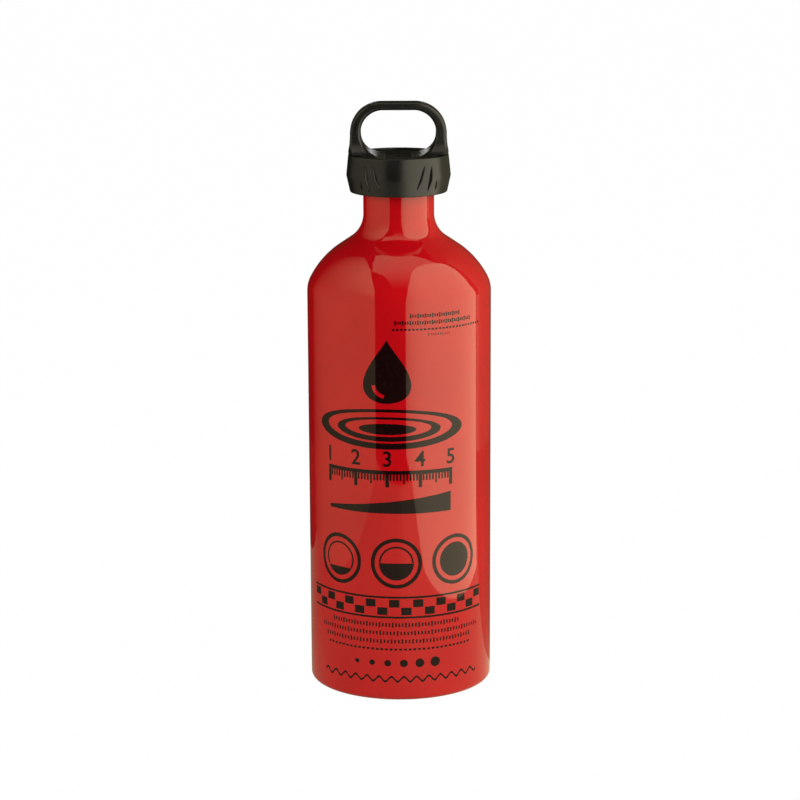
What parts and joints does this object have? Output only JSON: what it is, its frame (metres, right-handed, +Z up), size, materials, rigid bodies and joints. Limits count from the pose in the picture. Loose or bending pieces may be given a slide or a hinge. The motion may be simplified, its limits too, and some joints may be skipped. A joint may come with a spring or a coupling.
{
  "type": "fuel bottle",
  "caption": "Seamless aluminium fuel bottle with a rounded shoulder and narrow neck, closed by a push-and-turn screw cap that carries a finger loop",
  "frame": {"origin": "centre of the flat ring that the bottle stands on, on the bottle's axis", "axes": "+Z up along the bottle's axis, X along the width of the finger loop, -Y towards the front that the picture shows"},
  "size_m": [0.073, 0.073, 0.234],
  "materials": {
    "painted_aluminium": "gloss red enamel over impact-extruded aluminium",
    "seal_rubber": "satin nitrile rubber",
    "plug_plastic": "moulded nylon, fine matt",
    "spring_steel": "rolled spring steel",
    "cap_plastic": "black moulded nylon with a satin sheen"
  },
  "bodies": {
    "bottle": {"bottle": "painted_aluminium"},
    "seal": {"o_ring": "seal_rubber"},
    "plug": {"threaded_plug": "plug_plastic"},
    "spring": {"wave_spring": "spring_steel"},
    "cap": {"grip_ring": "cap_plastic", "bail_cap": "cap_plastic"}
  },
  "joints": [
    {"name": "cap_rise", "type": "slide", "parent": "bottle", "child": "seal", "axis": [0, 0, 1], "range_m": [0, 0.014]},
    {"name": "cap_turn", "type": "hinge", "parent": "seal", "child": "plug", "pos_m": [0, 0, 0.203], "axis": [0, 0, 1], "range_deg": [0, 1440]},
    {"name": "cap_spin", "type": "hinge", "parent": "plug", "child": "spring", "pos_m": [0, 0, 0.209], "axis": [0, 0, 1], "continuous": true},
    {"name": "cap_press", "type": "slide", "parent": "spring", "child": "cap", "axis": [0, 0, -1], "range_m": [0, 0.0018], "stiffness_N_per_m": 6000, "deforming": ["wave_spring"]}
  ],
  "couplings": [
    {"joint": "cap_turn", "follows": "cap_rise", "rad_per_m": 1795.2}
  ]
}
